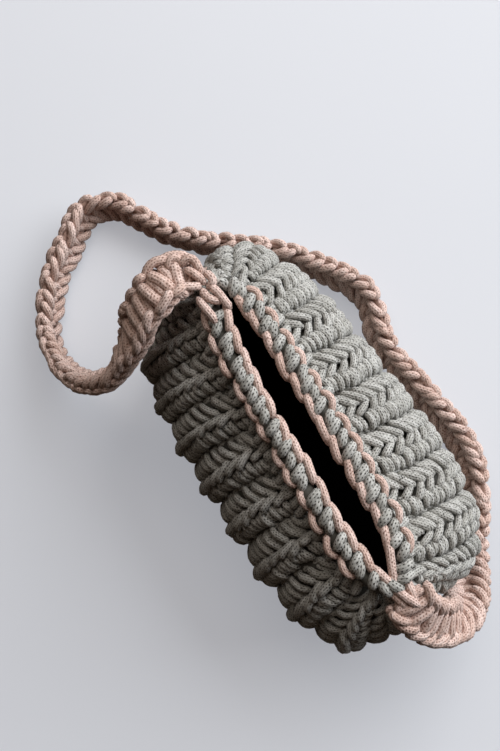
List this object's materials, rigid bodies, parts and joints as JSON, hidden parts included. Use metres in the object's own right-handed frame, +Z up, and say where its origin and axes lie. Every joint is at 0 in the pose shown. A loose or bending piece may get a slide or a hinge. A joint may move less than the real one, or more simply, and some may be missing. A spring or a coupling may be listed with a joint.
{
  "type": "crochet crossbody bag",
  "caption": "Small ribbed crochet bag of thick cotton cord standing open on its base, with a contrast worked edge round the mouth and a flat crocheted shoulder strap lying round it.",
  "frame": {"origin": "middle of the flat base, on the surface that the bag stands on", "axes": "+X along the mouth towards the fuller end, -Y out of the front panel, +Z up out of the mouth"},
  "size_m": [0.3333, 0.185, 0.1342],
  "materials": {
    "grey_green_yarn": "matt knitted-tube cotton cord",
    "edging_yarn": "matt cotton cord in blush and grey-green",
    "blush_yarn": "matt knitted-tube cotton cord",
    "black_cloth": "matt black cotton lining"
  },
  "bodies": {
    "root": {"body": "grey_green_yarn", "mouth_edging": "edging_yarn", "seam_lacing_left": "blush_yarn", "seam_lacing_right": "blush_yarn", "lining": "black_cloth", "strap": "blush_yarn"}
  },
  "joints": []
}
